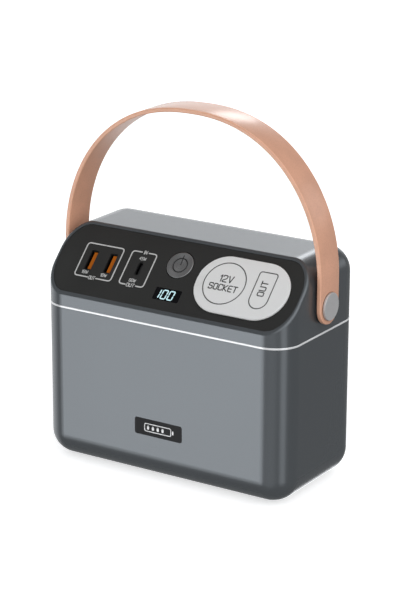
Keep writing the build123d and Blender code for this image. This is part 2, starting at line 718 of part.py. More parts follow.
left_rivet, right_rivet = rivets()
nodes = {
    "lower_housing": lower_housing(),
    "upper_housing": upper_housing(),
    "trim_ring": trim_ring(),
    "seam_frame": seam_frame(),
    "rubber_feet": rubber_feet(),
    "badge_plate": badge_plate(),
    "control_panel": control_panel(),
    "usb_a_shells": usb_a_shells(),
    "usb_a_tongues": usb_a_tongues(),
    "usb_c_shell": usb_c_shell(),
    "usb_c_tongue": usb_c_tongue(),
    "power_button": power_button(),
    "button_guide": button_guide(),
    "button_switch": button_switch(),
    "display_window": display_window(),
    "display_module": display_module(),
    "socket_collar": socket_collar(),
    "socket_can": socket_can(),
    "socket_insulator": socket_insulator(),
    "socket_contact": socket_contact(),
    "socket_nut": socket_nut(),
    "jump_housing": jump_housing(),
    "jump_contacts": jump_contacts(),
    "port_cover": port_cover(),
    "cover_anchor": cover_anchor(),
    "handle_strap": handle_strap(),
    "rivet_left": left_rivet,
    "rivet_right": right_rivet,
    "pivot_washers": pivot_washers(),
    "pivot_bushes": pivot_bushes(),
    "pivot_nuts": pivot_nuts(),
    "battery_cells": battery_cells(),
    "cell_holder_lower": cell_holder_lower(),
    "cell_holder_upper": cell_holder(CELL_Z + CELL_LENGTH - HOLDER_HEIGHT),
    "bus_bars": bus_bars(),
    "tray_screws": tray_screws(),
    "bms_board": bms_board(),
    "board_spacers": board_spacers(),
    "main_board": main_board(),
    "heat_sink": heat_sink(),
    "port_board": port_board(),
    "board_screws": board_screws(),
}
for name, shape in nodes.items():
    export_step(shape, f"parts/{name}.step")
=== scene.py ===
import json
from math import atan2, cos, pi, radians, sin, sqrt

import bmesh
import bpy
from mathutils import Matrix, Vector


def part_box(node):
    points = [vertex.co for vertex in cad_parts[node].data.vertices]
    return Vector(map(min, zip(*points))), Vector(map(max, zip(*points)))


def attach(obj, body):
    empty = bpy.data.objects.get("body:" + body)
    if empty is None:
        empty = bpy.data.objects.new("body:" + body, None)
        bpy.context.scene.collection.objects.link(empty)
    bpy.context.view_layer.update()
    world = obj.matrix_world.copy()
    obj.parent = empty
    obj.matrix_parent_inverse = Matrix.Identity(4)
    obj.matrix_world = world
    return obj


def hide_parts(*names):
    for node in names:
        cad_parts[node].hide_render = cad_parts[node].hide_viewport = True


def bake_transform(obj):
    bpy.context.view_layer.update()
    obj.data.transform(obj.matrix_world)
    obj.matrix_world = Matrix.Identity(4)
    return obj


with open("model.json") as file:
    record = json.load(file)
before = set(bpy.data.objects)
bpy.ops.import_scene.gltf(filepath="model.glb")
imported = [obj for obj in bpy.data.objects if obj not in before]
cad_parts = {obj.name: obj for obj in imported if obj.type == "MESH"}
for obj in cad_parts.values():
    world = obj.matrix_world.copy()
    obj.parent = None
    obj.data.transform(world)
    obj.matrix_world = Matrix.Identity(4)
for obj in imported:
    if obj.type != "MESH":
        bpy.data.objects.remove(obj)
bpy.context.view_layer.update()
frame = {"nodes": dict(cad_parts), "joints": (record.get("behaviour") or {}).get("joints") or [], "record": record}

MM = 0.001

# ---- The slanted face's own axes, read from the joints: u across, v up the slope, p out of it ----
JOINTS = {joint["name"]: joint for joint in frame["joints"]}
HINGE_U, HINGE_V, HINGE_P = 72.5, 26.8, 1.6
FACE_U = Vector((1, 0, 0))
FACE_V = Vector(JOINTS["cover_hinge"]["axis"]).normalized()
FACE_P = -Vector(JOINTS["button_press"]["axis"]).normalized()
FACE_ORIGIN = Vector(JOINTS["cover_hinge"]["pos_m"]) - MM * (
    HINGE_U * FACE_U + HINGE_V * FACE_V + HINGE_P * FACE_P
)
FRONT_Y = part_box("lower_housing")[0].y

# ---- Sizes of the visible detail, in millimetres ----
PANEL_P = -0.35                   # the black panel's surface
EDGE_STEPS = 5
ARCH_STEPS = 140
LEG_ROUND_STEPS, LEG_STEPS = 12, 6
PRINT_THICK = 0.03
BADGE_PROUD = 0.2
ROUND_MARK, ROUND_MARK_R, GROOVE_R = (36.0, 27.3), 14.25, 0.4
COVER_EDGE_R = 0.6
COVER_SOLE_GAP, COVER_SOLE_EDGE = 0.3, 0.25
PLUG_EDGE, PLUG_TOP = 0.4, 0.4    # bevel at a plug's foot; height at which it ends inside the cover
PORT_PLUG_INSET = 1.3
SCOOP_LENGTH, SCOOP_HALF, SCOOP_DEPTH = 6.5, 7.0, 1.1
SCOOP_OVERHANG, SCOOP_TAPER, SCOOP_FALL = 1.5, 0.35, 0.6
SCOOP_ROWS, SCOOP_COLUMNS = 12, 16
CUTTER_RISE = 0.05                # cutters stand this far above the surface that they cut
CUTTER_HEIGHT = 5
FRAME_LINE, FRAME_CORNER = 0.85, 2.2
DIGIT_LINE, DIGIT_LEAN, DIGIT_TRIM = 0.8, 0.12, 0.62
DIGIT_LOW, DIGIT_HEIGHT = 10.2, 6.0
DIGIT_SINK = 0.04
BUTTON_TOP, BUTTON_BOTTOM = 0.0, -4.5
BUTTON_DISH_R, BUTTON_DISH_DEPTH = 60.0, 0.55
BUTTON_EDGE_R = 0.5
BUTTON_ROUNDS, BUTTON_TURNS, BUTTON_EDGE_STEPS = 18, 72, 6
SIGN_R, SIGN_LINE = 4.8, 0.8
SIGN_BAR = (0.3, 2.5, 5.0, 7.0)   # points up the power sign's bar, from the button's centre

# Words on the panel: text, centre, height, stroke, width as a share of the usual.
USB_A_WORDS = [
    ("OUT", (-57.4, 14.8), 2.3, 0.42, 0.8),
    ("18W", (-64.1, 18.0), 2.1, 0.36, 0.95),
    ("18W", (-49.9, 18.0), 2.1, 0.36, 0.95),
]
USB_C_WORDS = [
    ("IN", (-27.7, 38.7), 2.3, 0.45, 1.0),
    ("OUT", (-28.2, 15.0), 2.3, 0.45, 1.0),
    ("45W", (-27.8, 34.2), 2.0, 0.36, 0.9),
    ("60W", (-28.2, 18.4), 2.0, 0.36, 0.9),
]
# Digits of the display: digit, left edge, width.
DISPLAY_DIGITS = [("1", -9.4, 3.6), ("0", -4.1, 3.3), ("0", 0.8, 3.3)]
# The badge's battery: corners of its body, its tip, and its bars' places along X.
BATTERY_BODY = [(-10.5, 32.9), (9.0, 32.9), (9.0, 37.9), (-10.5, 37.9)]
BATTERY_TIP = [(10.4, 34.6), (10.4, 36.2)]
BATTERY_BARS, BATTERY_BAR_LOW, BATTERY_BAR_HIGH = (-7.9, -4.3, -0.7, 2.9), 34.8, 36.0
BATTERY_CORNER, BATTERY_LINE, BATTERY_TIP_LINE, BATTERY_BAR_LINE = 1.2, 0.5, 1.0, 1.6

# ---- Sizes that the detailed pieces share with the CAD, in millimetres ----
PIVOT_Z = JOINTS["handle_hinge"]["pos_m"][2] / MM
STRAP_WIDTH = 22.4
STRAP_THICK = 2.8
STRAP_EDGE_R = 0.7
ARCH_HALF_SPAN = 92.75
ARCH_FOOT_Z = 136.9
ARCH_RISE = 93.6
ARCH_POWER_X = 2.25
ARCH_POWER_Z = 2.0
SHOULDER_R = 3.55
COVER_LEFT, COVER_RIGHT, COVER_R, COVER_V = 15.7, 80.7, 19.5, 26.8
COVER_TOP = 1.6
SOCKET_PLACE = (35.8, 27.0)
SOCKET_PLUG_R = 9.7
PLUG_DEPTH = 2.2
JUMP_PLACE = (62.8, 27.3)
JUMP_WIDTH, JUMP_TOP, JUMP_ROUND = 12.6, 12.4, -6.1
BUTTON_PLACE = (-0.3, 34.6)
BUTTON_R = 9.05


def face_point(u, v, p=0.0):
    """Point of the slanted face's axes, in the frame's metres."""
    return FACE_ORIGIN + MM * (u * FACE_U + v * FACE_V + p * FACE_P)


def front_point(x, z, proud=0.0):
    """Point on the case's front, proud of it."""
    return Vector((x * MM, FRONT_Y - proud * MM, z * MM))


# ---- Mesh helpers ----

def make_object(name, verts, faces, body, smooth=True):
    mesh = bpy.data.meshes.new(name)
    mesh.from_pydata([tuple(v) for v in verts], [], faces)
    mesh.validate()
    mesh.update()
    return finish_object(name, mesh, body, smooth)


def finish_object(name, mesh, body, smooth=True):
    """Links a mesh as a piece that rides on a body, with outward normals."""
    piece = bpy.data.objects.new(name, mesh)
    bpy.context.scene.collection.objects.link(piece)
    work = bmesh.new()
    work.from_mesh(mesh)
    bmesh.ops.recalc_face_normals(work, faces=work.faces)
    work.to_mesh(mesh)
    work.free()
    mesh.polygons.foreach_set("use_smooth", [smooth] * len(mesh.polygons))
    if body:
        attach(piece, body)
    return piece


def paint(piece, material):
    piece.data.materials.clear()
    piece.data.materials.append(material)


def sharpen(piece, degrees):
    """Keeps edges crisp where the faces turn more than this."""
    work = bmesh.new()
    work.from_mesh(piece.data)
    limit = radians(degrees)
    for edge in work.edges:
        edge.smooth = len(edge.link_faces) == 2 and edge.calc_face_angle(pi) < limit
    work.to_mesh(piece.data)
    work.free()


def boolean_cut(piece, cutters):
    """Takes the cutters' volume out of a piece, and deletes them."""
    for cutter in cutters:
        modifier = piece.modifiers.new("cut", "BOOLEAN")
        modifier.operation = "DIFFERENCE"
        modifier.solver = "EXACT"
        modifier.material_mode = "TRANSFER"
        modifier.object = cutter
    bpy.context.view_layer.update()
    shaped = piece.evaluated_get(bpy.context.evaluated_depsgraph_get())
    mesh = bpy.data.meshes.new_from_object(shaped)
    piece.modifiers.clear()
    piece.data = mesh
    for cutter in cutters:
        bpy.data.objects.remove(cutter)


def tube_mesh(name, points, radius, closed, material, sides=10):
    """Round tube along points in the face's axes, as a cutter that leaves its material in the groove."""
    verts, faces = [], []
    count = len(points)
    for index, point in enumerate(points):
        before = points[(index - 1) % count] if closed or index else points[index]
        after = points[(index + 1) % count] if closed or index < count - 1 else points[index]
        along = Vector((after[0] - before[0], after[1] - before[1], 0)).normalized()
        side = Vector((along.y, -along.x, 0))
        for step in range(sides):
            turn = 2 * pi * step / sides
            offset = side * cos(turn) * radius + Vector((0, 0, sin(turn) * radius))
            verts.append(face_point(point[0] + offset.x, point[1] + offset.y, point[2] + offset.z))
    rings = count if closed else count - 1
    for ring in range(rings):
        for step in range(sides):
            a = ring * sides + step
            b = ring * sides + (step + 1) % sides
            c = ((ring + 1) % count) * sides + (step + 1) % sides
            d = ((ring + 1) % count) * sides + step
            faces.append((a, b, c, d))
    if not closed:
        faces.append(tuple(range(sides)))
        faces.append(tuple(range((count - 1) * sides, count * sides))[::-1])
    tube = make_object(name, verts, faces, None)
    paint(tube, material)
    return tube


# ---- Flat outlines, in millimetres ----

def arc(centre, radius, start, end, steps):
    """Points along an arc, angles in degrees."""
    turns = [radians(start + (end - start) * step / steps) for step in range(steps + 1)]
    return [(centre[0] + radius * cos(turn), centre[1] + radius * sin(turn)) for turn in turns]


def rounded(corners, radius, steps=6, closed=True):
    """Polyline whose corners are rounded by arcs."""
    count = len(corners)
    points = []
    for index, contact_occlusion in enumerate(corners):
        here = Vector(contact_occlusion)
        if not closed and index in (0, count - 1):
            points.append(tuple(here))
            continue
        before = Vector(corners[index - 1]) - here
        after = Vector(corners[(index + 1) % count]) - here
        reach = min(radius, before.length * 0.5, after.length * 0.5)
        start = here + before.normalized() * reach
        end = here + after.normalized() * reach
        for step in range(steps + 1):
            share = step / steps
            bend = start * (1 - share) ** 2 + here * 2 * share * (1 - share) + end * share ** 2
            points.append(tuple(bend))
    return points


def stadium(left, right, middle, radius, steps=48):
    """Outline with straight long sides and round ends."""
    ends = arc((right - radius, middle), radius, -90, 90, steps)
    return ends + arc((left + radius, middle), radius, 90, 270, steps)


def jump_outline(grow, steps=24):
    """D-shaped outline round the jump port, larger by grow."""
    half = JUMP_WIDTH / 2 + grow
    top = JUMP_TOP + grow
    contact_occlusion = 1.8 + max(grow, -1.0)
    u, v = JUMP_PLACE
    points = arc((u, v + JUMP_ROUND), half, 180, 360, steps)
    points += arc((u + half - contact_occlusion, v + top - contact_occlusion), contact_occlusion, 0, 90, 8)
    points += arc((u - half + contact_occlusion, v + top - contact_occlusion), contact_occlusion, 90, 180, 8)
    return points


def ribbon(points, width, closed=False):
    """Flat strip of one width along points, as (outline points, faces), with round ends."""
    half = width / 2
    count = len(points)
    left, right = [], []
    for index in range(count):
        here = Vector(points[index])
        before = Vector(points[index - 1]) if closed or index else here
        after = Vector(points[(index + 1) % count]) if closed or index < count - 1 else here
        inward = (here - before).normalized() if (here - before).length else None
        outward = (after - here).normalized() if (after - here).length else inward
        inward = inward or outward
        along = (inward + outward).normalized()
        side = Vector((-along.y, along.x))
        stretch = half / max(0.5, side.dot(Vector((-outward.y, outward.x))))
        left.append(here + side * stretch)
        right.append(here - side * stretch)
    if closed:
        verts = left + right
        faces = [(i, (i + 1) % count, count + (i + 1) % count, count + i) for i in range(count)]
        return verts, faces
    start, end = Vector(points[0]), Vector(points[-1])
    heading_in = (Vector(points[1]) - start).normalized()
    heading_out = (end - Vector(points[-2])).normalized()
    verts = left + right
    faces = [(i, i + 1, count + i + 1, count + i) for i in range(count - 1)]
    for tip, heading, first, last in (
        (start, -heading_in, 0, count),
        (end, heading_out, 2 * count - 1, count - 1),
    ):
        turn = atan2(heading.y, heading.x)
        cap = [tip + half * Vector((cos(turn + a), sin(turn + a)))
               for a in (-pi / 3, -pi / 6, 0, pi / 6, pi / 3)]
        base = len(verts)
        verts += cap
        faces.append((first, last) + tuple(range(base, base + len(cap)))[::-1 if first == 0 else 1])
    return verts, faces


def raise_flat(name, shapes, place, thick, low, body):
    """Flat shapes, each (verts, faces), made into thin solids: place maps (u, v, p) into the frame."""
    verts, faces = [], []
    for outline, cells in shapes:
        base = len(verts)
        count = len(outline)
        verts += [place(point[0], point[1], low) for point in outline]
        verts += [place(point[0], point[1], low + thick) for point in outline]
        edges = {}
        for cell in cells:
            faces.append(tuple(base + i for i in cell)[::-1])
            faces.append(tuple(base + count + i for i in cell))
            for a, b in zip(cell, cell[1:] + cell[:1]):
                edges[(a, b)] = edges.get((a, b), 0) + 1
        for a, b in edges:
            if (b, a) not in edges:
                faces.append((base + a, base + b, base + count + b, base + count + a))
    return make_object(name, verts, faces, body, smooth=False)


# ---- Stroke lettering for the functional legends ----
# Each glyph is a list of strokes on a box one high; a stroke is (points, closed).

BOX = [(0, 0), (0.62, 0), (0.62, 1), (0, 1)]
GLYPHS = {
    "0": [(BOX, True)],
    "1": [([(0.02, 0.78), (0.22, 1), (0.22, 0)], False)],
    "2": [([(0, 0.80), (0, 1), (0.62, 1), (0.62, 0.56), (0, 0.22), (0, 0), (0.64, 0)], False)],
    "4": [([(0.48, 0), (0.48, 1), (0, 0.3), (0.66, 0.3)], False)],
    "5": [([(0.6, 1), (0, 1), (0, 0.55), (0.62, 0.55), (0.62, 0), (0, 0)], False)],
    "6": [([(0.58, 1), (0, 1), (0, 0), (0.62, 0), (0.62, 0.55), (0, 0.55)], False)],
    "8": [(BOX, True), ([(0.04, 0.52), (0.58, 0.52)], False)],
    "C": [([(0.62, 0.8), (0.62, 1), (0, 1), (0, 0), (0.62, 0), (0.62, 0.2)], False)],
    "E": [([(0.6, 1), (0, 1), (0, 0), (0.6, 0)], False), ([(0.02, 0.5), (0.54, 0.5)], False)],
    "I": [([(0.1, 0), (0.1, 1)], False)],
    "K": [([(0, 0), (0, 1)], False), ([(0.6, 1), (0.06, 0.46), (0.62, 0)], False)],
    "N": [([(0, 0), (0, 1), (0.62, 0), (0.62, 1)], False)],
    "O": [(BOX, True)],
    "S": [([(0.62, 0.82), (0.62, 1), (0, 1), (0, 0.52), (0.62, 0.52), (0.62, 0), (0, 0), (0, 0.18)], False)],
    "T": [([(0, 1), (0.66, 1)], False), ([(0.33, 1), (0.33, 0)], False)],
    "U": [([(0, 1), (0, 0), (0.62, 0), (0.62, 1)], False)],
    "V": [([(0, 1), (0.34, 0), (0.68, 1)], False)],
    "W": [([(0, 1), (0.2, 0), (0.42, 0.8), (0.64, 0), (0.84, 1)], False)],
}
SHARP_GLYPHS = "1KNVWT4"


def lettering(text, centre, height, stroke, turn=0.0, gap=0.26, narrow=1.0):
    """Strokes of a word centred on a point: a list of (verts, faces) in millimetres."""
    widths = {letter: max(x for points, _ in GLYPHS[letter] for x, _ in points) for letter in text}
    total = sum(widths[letter] for letter in text) + gap * (len(text) - 1)
    shapes = []
    pen = -total / 2
    for letter in text:
        radius = 0.03 if letter in SHARP_GLYPHS else 0.2
        for points, closed in GLYPHS[letter]:
            smooth = rounded(points, radius, 4, closed)
            placed = []
            for x, y in smooth:
                across, up = (pen + x) * height * narrow, (y - 0.5) * height
                placed.append((
                    centre[0] + across * cos(turn) - up * sin(turn),
                    centre[1] + across * sin(turn) + up * cos(turn),
                ))
            shapes.append(ribbon(placed, stroke, closed))
        pen += widths[letter] + gap
    return shapes


# ---- Materials ----

def new_material(name):
    material = bpy.data.materials.new(name)
    material.use_nodes = True
    nodes = material.node_tree.nodes
    return material, nodes, material.node_tree.links, nodes["Principled BSDF"]


def noise(nodes, links, scale, detail=3.0, roughness=0.5, stretch=None):
    """Noise in the object's own metres, stretched along an axis if asked."""
    place = nodes.new("ShaderNodeTexCoord")
    texture = nodes.new("ShaderNodeTexNoise")
    texture.inputs["Scale"].default_value = scale
    texture.inputs["Detail"].default_value = detail
    texture.inputs["Roughness"].default_value = roughness
    source = place.outputs["Object"]
    if stretch:
        mapping = nodes.new("ShaderNodeMapping")
        mapping.inputs["Scale"].default_value = stretch
        links.new(source, mapping.inputs["Vector"])
        source = mapping.outputs["Vector"]
    links.new(source, texture.inputs["Vector"])
    return texture.outputs["Fac"]


def spread(nodes, links, value, low, high, from_low=0.3, from_high=0.7):
    """Maps a texture's middle range onto low to high."""
    remap = nodes.new("ShaderNodeMapRange")
    remap.inputs["From Min"].default_value = from_low
    remap.inputs["From Max"].default_value = from_high
    remap.inputs["To Min"].default_value = low
    remap.inputs["To Max"].default_value = high
    links.new(value, remap.inputs["Value"])
    return remap.outputs["Result"]


def blend_colours(nodes, links, factor, first, second):
    mix = nodes.new("ShaderNodeMix")
    mix.data_type = "RGBA"
    links.new(factor, mix.inputs["Factor"])
    for socket, colour in (("A", first), ("B", second)):
        target = [s for s in mix.inputs if s.name == socket and s.type == "RGBA"][0]
        if isinstance(colour, tuple):
            target.default_value = (*colour, 1)
        else:
            links.new(colour, target)
    return [s for s in mix.outputs if s.type == "RGBA"][0]


def edge_wear(nodes, links, radius, low=0.02, high=0.25):
    """1 on sharp outer edges, 0 on flats: the difference between the rounded and the true normal."""
    bevel = nodes.new("ShaderNodeBevel")
    bevel.samples = 4
    bevel.inputs["Radius"].default_value = radius
    geometry = nodes.new("ShaderNodeNewGeometry")
    product = nodes.new("ShaderNodeVectorMath")
    product.operation = "DOT_PRODUCT"
    links.new(bevel.outputs["Normal"], product.inputs[0])
    links.new(geometry.outputs["Normal"], product.inputs[1])
    return spread(nodes, links, product.outputs["Value"], 1, 0, 1 - high, 1 - low)


def bump(nodes, links, shader, height, distance, strength=1.0):
    node = nodes.new("ShaderNodeBump")
    node.inputs["Distance"].default_value = distance
    node.inputs["Strength"].default_value = strength
    links.new(height, node.inputs["Height"])
    links.new(node.outputs["Normal"], shader.inputs["Normal"])


def moulded(name, colour, roughness, grain=900.0, depth=0.00002, metallic=0.0, vary=0.12, specular=0.5):
    """Moulded or painted surface: slight colour drift, uneven gloss, fine grain."""
    material, nodes, links, shader = new_material(name)
    drift = noise(nodes, links, 18, 2)
    darker = tuple(c * (1 - vary) for c in colour)
    lighter = tuple(min(1, c * (1 + vary)) for c in colour)
    links.new(blend_colours(nodes, links, spread(nodes, links, drift, 0, 1), darker, lighter),
              shader.inputs["Base Color"])
    speckle = noise(nodes, links, grain, 2)
    links.new(spread(nodes, links, speckle, roughness * 0.88, min(1, roughness * 1.12)),
              shader.inputs["Roughness"])
    bump(nodes, links, shader, speckle, depth)
    shader.inputs["Metallic"].default_value = metallic
    shader.inputs["Specular IOR Level"].default_value = specular
    return material


def case_paint():
    """Satin slate paint with fine metal flake, worn a little lighter on its edges."""
    material, nodes, links, shader = new_material("case_paint")
    drift = spread(nodes, links, noise(nodes, links, 9, 3), 0, 1, 0.2, 0.8)
    base = blend_colours(nodes, links, drift, (0.126, 0.137, 0.147), (0.132, 0.143, 0.153))
    flake = spread(nodes, links, noise(nodes, links, 2600, 1), 0, 0.08, 0.5, 0.8)
    base = blend_colours(nodes, links, flake, base, (0.30, 0.32, 0.34))
    worn = edge_wear(nodes, links, 0.0005)
    worn = spread(nodes, links, worn, 0, 0.25, 0, 1)
    base = blend_colours(nodes, links, worn, base, (0.22, 0.24, 0.26))
    links.new(base, shader.inputs["Base Color"])
    orange_peel = noise(nodes, links, 700, 2)
    gloss = spread(nodes, links, noise(nodes, links, 14, 2), 0.24, 0.255, 0.2, 0.8)
    links.new(gloss, shader.inputs["Roughness"])
    bump(nodes, links, shader, orange_peel, 0.000003)
    shader.inputs["Metallic"].default_value = 0.6
    return material


def brushed(name, colour, roughness, stretch, scale=300.0, metallic=1.0):
    """Metal with fine lines along one direction."""
    material, nodes, links, shader = new_material(name)
    lines = noise(nodes, links, scale, 4, 0.6, stretch)
    darker = tuple(c * 0.9 for c in colour)
    links.new(blend_colours(nodes, links, spread(nodes, links, lines, 0, 1), darker, colour),
              shader.inputs["Base Color"])
    links.new(spread(nodes, links, lines, roughness * 0.8, roughness * 1.25), shader.inputs["Roughness"])
    bump(nodes, links, shader, lines, 0.000006)
    shader.inputs["Metallic"].default_value = metallic
    return material


def spun(name, colour, roughness, centre, axis):
    """Metal turned on a lathe: fine rings round a centre, with the two-sided gleam that they give."""
    material, nodes, links, shader = new_material(name)
    place = nodes.new("ShaderNodeTexCoord")
    arm = nodes.new("ShaderNodeVectorMath")
    arm.operation = "SUBTRACT"
    links.new(place.outputs["Object"], arm.inputs[0])
    arm.inputs[1].default_value = centre
    along = nodes.new("ShaderNodeVectorMath")
    along.operation = "CROSS_PRODUCT"
    links.new(arm.outputs["Vector"], along.inputs[0])
    along.inputs[1].default_value = axis
    unit = nodes.new("ShaderNodeVectorMath")
    unit.operation = "NORMALIZE"
    links.new(along.outputs["Vector"], unit.inputs[0])
    links.new(unit.outputs["Vector"], shader.inputs["Tangent"])
    distance = nodes.new("ShaderNodeVectorMath")
    distance.operation = "LENGTH"
    links.new(arm.outputs["Vector"], distance.inputs[0])
    rings = nodes.new("ShaderNodeTexNoise")
    rings.noise_dimensions = "1D"
    rings.inputs["Scale"].default_value = 6000
    links.new(distance.outputs["Value"], rings.inputs["W"])
    tone = spread(nodes, links, rings.outputs["Fac"], 0, 1)
    darker = tuple(c * 0.85 for c in colour)
    links.new(blend_colours(nodes, links, tone, darker, colour), shader.inputs["Base Color"])
    links.new(spread(nodes, links, rings.outputs["Fac"], roughness * 0.9, roughness * 1.1),
              shader.inputs["Roughness"])
    shader.inputs["Metallic"].default_value = 0.9
    shader.inputs["Anisotropic"].default_value = 0.85
    return material


def chrome():
    material, nodes, links, shader = new_material("trim_chrome")
    haze = noise(nodes, links, 400, 2)
    links.new(spread(nodes, links, haze, 0.03, 0.08), shader.inputs["Roughness"])
    smudge = spread(nodes, links, noise(nodes, links, 40, 2), 0, 1)
    links.new(blend_colours(nodes, links, smudge, (0.88, 0.88, 0.89), (0.94, 0.94, 0.95)),
              shader.inputs["Base Color"])
    bump(nodes, links, shader, haze, 0.000002)
    shader.inputs["Metallic"].default_value = 0.25
    return material


def leather(name, colour, roughness):
    """Smooth-finished leather: soft grain cells, uneven tone, low sheen, and painted shade where it meets other
    parts.
    """
    material, nodes, links, shader = new_material(name)
    place = nodes.new("ShaderNodeTexCoord")
    cells = nodes.new("ShaderNodeTexVoronoi")
    cells.feature = "SMOOTH_F1"
    cells.inputs["Scale"].default_value = 1500
    links.new(place.outputs["Object"], cells.inputs["Vector"])
    tone = spread(nodes, links, noise(nodes, links, 60, 4), 0, 1)
    darker = tuple(c * 0.93 for c in colour)
    lighter = tuple(min(1, c * 1.06) for c in colour)
    base = blend_colours(nodes, links, tone, darker, lighter)
    pores = spread(nodes, links, cells.outputs["Distance"], 0, 0.35, 0.35, 0.7)
    base = blend_colours(nodes, links, pores, base, tuple(c * 0.82 for c in colour))
    # Painted shade: the base colour darkens to a quarter of itself where other parts come within 1.2 mm, standing
    # in for the contact shadow under the rivet heads and against the case.
    contact_occlusion = nodes.new("ShaderNodeAmbientOcclusion")
    contact_occlusion.inputs["Distance"].default_value = 0.0012
    painted_contact_shade = spread(nodes, links, contact_occlusion.outputs["AO"], 1, 0, 0.45, 0.9)
    base = blend_colours(nodes, links, painted_contact_shade, base, tuple(c * 0.25 for c in colour))
    links.new(base, shader.inputs["Base Color"])
    links.new(spread(nodes, links, cells.outputs["Distance"], roughness * 0.9, roughness * 1.15, 0, 0.7),
              shader.inputs["Roughness"])
    bump(nodes, links, shader, cells.outputs["Distance"], 0.00003, 0.6)
    shader.inputs["Specular IOR Level"].default_value = 0.6
    return material


def glowing(name, colour, strength):
    material, nodes, links, shader = new_material(name)
    flicker = spread(nodes, links, noise(nodes, links, 300, 2), 0, 1)
    tint = blend_colours(nodes, links, flicker, tuple(c * 0.94 for c in colour), colour)
    links.new(tint, shader.inputs["Emission Color"])
    shader.inputs["Emission Strength"].default_value = strength
    shader.inputs["Base Color"].default_value = (0.02, 0.02, 0.02, 1)
    return material


def solder_mask():
    """Green board with faint copper tracks under the mask."""
    material, nodes, links, shader = new_material("board_green")
    place = nodes.new("ShaderNodeTexCoord")
    tracks = nodes.new("ShaderNodeTexBrick")
    tracks.inputs["Scale"].default_value = 160
    tracks.inputs["Mortar Size"].default_value = 0.08
    tracks.inputs["Color1"].default_value = (0.012, 0.12, 0.045, 1)
    tracks.inputs["Color2"].default_value = (0.016, 0.15, 0.055, 1)
    tracks.inputs["Mortar"].default_value = (0.05, 0.26, 0.10, 1)
    links.new(place.outputs["Object"], tracks.inputs["Vector"])
    links.new(tracks.outputs["Color"], shader.inputs["Base Color"])
    links.new(spread(nodes, links, noise(nodes, links, 500, 2), 0.3, 0.42), shader.inputs["Roughness"])
    bump(nodes, links, shader, tracks.outputs["Fac"], 0.00002)
    return material


MATERIALS = {
    "case_paint": case_paint(),
    "trim_chrome": chrome(),
    "frame_plastic": moulded("frame_plastic", (0.03, 0.03, 0.032), 0.5),
    "feet_rubber": moulded("feet_rubber", (0.02, 0.02, 0.02), 0.8, 1500, 0.00004),
    "panel_black": moulded("panel_black", (0.031, 0.031, 0.030), 0.55, 1600, 0.00001, specular=0.2),
    "badge_black": moulded("badge_black", (0.032, 0.032, 0.033), 0.4, 800, 0.000004, specular=0.08),
    "port_steel": brushed("port_steel", (0.07, 0.07, 0.072), 0.4, (1, 6, 6)),
    "tongue_orange": moulded("tongue_orange", (0.46, 0.115, 0.003), 0.5, 1200, 0.00001, specular=0.2),
    "tongue_black": moulded("tongue_black", (0.01, 0.01, 0.01), 0.45),
    "button_metal": spun("button_metal", (0.34, 0.34, 0.342), 0.3, face_point(*BUTTON_PLACE), FACE_P),
    "window_smoke": moulded("window_smoke", (0.003, 0.003, 0.004), 0.2, 500, 0.000003, specular=0.15),
    "socket_black": moulded("socket_black", (0.02, 0.02, 0.02), 0.4),
    "socket_steel": brushed("socket_steel", (0.6, 0.6, 0.61), 0.28, (1, 1, 8)),
    "contact_brass": brushed("contact_brass", (0.8, 0.56, 0.22), 0.25, (1, 1, 4)),
    "cover_silicone": moulded(
        "cover_silicone", (0.84, 0.84, 0.833), 0.6, 1800, 0.000012, vary=0.02, specular=0.3,
    ),
    "strap_leather": leather("strap_leather", (0.80, 0.42, 0.28), 0.2),
    "rivet_aluminium": brushed("rivet_aluminium", (0.66, 0.65, 0.655), 0.4, (1, 1, 10), 160, metallic=0.45),
    "pivot_nylon": moulded("pivot_nylon", (0.75, 0.75, 0.72), 0.5),
    "hardware_steel": brushed("hardware_steel", (0.5, 0.5, 0.5), 0.3, (6, 1, 1)),
    "cell_wrap": moulded("cell_wrap", (0.03, 0.16, 0.38), 0.3, 500, 0.00001),
    "nickel_strip": brushed("nickel_strip", (0.62, 0.6, 0.56), 0.3, (1, 8, 1)),
    "board_green": solder_mask(),
    "sink_aluminium": brushed("sink_aluminium", (0.6, 0.61, 0.62), 0.35, (1, 1, 8)),
}
# Edges: lighter than the outer face, partly the edge paint and partly a painted highlight along the front edge.
STRAP_EDGE = leather("strap_edge", (0.93, 0.50, 0.33), 0.3)
# Inner face: the same leather, a little lighter than the outer face, as painted light where less light reaches it.
STRAP_INNER_PAINTED_LIGHT = leather("strap_inner_painted_light", (0.86, 0.45, 0.295), 0.4)
PRINT_WHITE = moulded("print_white", (0.62, 0.62, 0.61), 0.5, 1500, 0.000005)
PRINT_GREY = moulded("print_grey", (0.06, 0.06, 0.06), 0.6, 1500, 0.000005)
GROOVE_GREY = moulded("groove_grey", (0.10, 0.10, 0.10), 0.7, 1500, 0.000005)
SIGN_DARK = moulded("sign_dark", (0.03, 0.03, 0.03), 0.4, 1200, 0.000004, metallic=0.5)
DIGIT_GLOW = glowing("digit_glow", (0.62, 0.93, 1.0), 1.0)
BADGE_SILVER = moulded("badge_silver", (0.6, 0.6, 0.6), 0.35, 1200, 0.000004, metallic=0.7)


def paint_cad_nodes():
    """Every CAD node that stays visible takes the material of its slot."""
    for entry in frame["record"]["subparts"]:
        node = frame["nodes"][entry["node"]]
        for index in range(max(1, len(node.data.materials))):
            material = MATERIALS[entry["material_slot"]]
            if index < len(node.data.materials):
                node.data.materials[index] = material
            else:
                node.data.materials.append(material)


# ---- Handle strap ----

